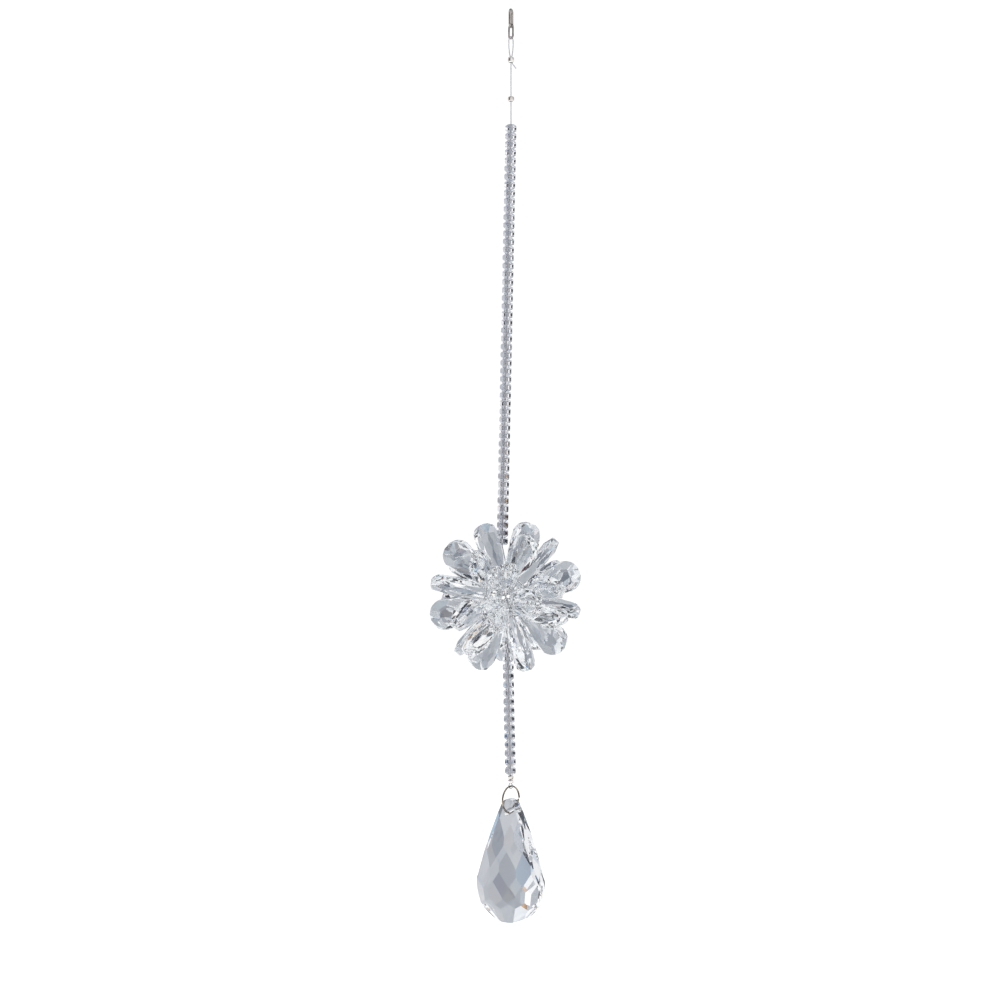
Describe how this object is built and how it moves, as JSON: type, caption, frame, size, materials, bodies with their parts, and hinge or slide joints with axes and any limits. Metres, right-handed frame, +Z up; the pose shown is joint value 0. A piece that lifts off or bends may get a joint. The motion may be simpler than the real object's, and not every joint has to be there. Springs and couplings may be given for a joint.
{
  "type": "hanging crystal suncatcher",
  "caption": "Hanging suncatcher: small wire link, strand of faceted glass beads, a ball-like flower of drilled crystal drops and a large faceted pear drop.",
  "frame": {"origin": "the hanging point, on the vertical line of the ornament at the inner top of the topmost wire link", "axes": "+Z up along the hanging ornament, -Y the side seen from the front, +X to the right as seen from the front"},
  "size_m": [0.0604, 0.0591, 0.3611],
  "materials": {
    "steel": "polished steel wire",
    "silver_crimp": "polished silver plate",
    "clear_line": "clear nylon",
    "bead_glass": "clear, faceted, faint lavender tint",
    "petal_glass": "clear cut crystal",
    "drop_glass": "clear cut crystal, faint blue-grey"
  },
  "bodies": {
    "root": {"hanging_link": "steel", "second_link": "steel", "stringing_line": "clear_line", "loop_crimp": "silver_crimp", "stop_crimp": "silver_crimp", "upper_end_crimp": "silver_crimp", "lower_end_crimp": "silver_crimp", "upper_bead_strand": "bead_glass", "lower_bead_strand": "bead_glass", "flower_drop_01": "petal_glass", "flower_drop_02": "petal_glass", "flower_drop_03": "petal_glass", "flower_drop_04": "petal_glass", "flower_drop_05": "petal_glass", "flower_drop_06": "petal_glass", "flower_drop_07": "petal_glass", "flower_drop_08": "petal_glass", "flower_drop_09": "petal_glass", "flower_drop_10": "petal_glass", "flower_drop_11": "petal_glass", "flower_drop_12": "petal_glass", "flower_drop_13": "petal_glass", "flower_drop_14": "petal_glass", "flower_drop_15": "petal_glass", "flower_drop_16": "petal_glass", "flower_drop_17": "petal_glass", "flower_drop_18": "petal_glass", "flower_drop_19": "petal_glass", "flower_drop_20": "petal_glass", "flower_drop_21": "petal_glass", "flower_drop_22": "petal_glass", "flower_drop_23": "petal_glass", "flower_drop_24": "petal_glass", "flower_drop_25": "petal_glass", "flower_drop_26": "petal_glass", "flower_drop_27": "petal_glass", "flower_drop_28": "petal_glass", "flower_drop_29": "petal_glass", "flower_drop_30": "petal_glass", "jump_ring": "steel", "crystal_drop": "drop_glass"}
  },
  "joints": []
}
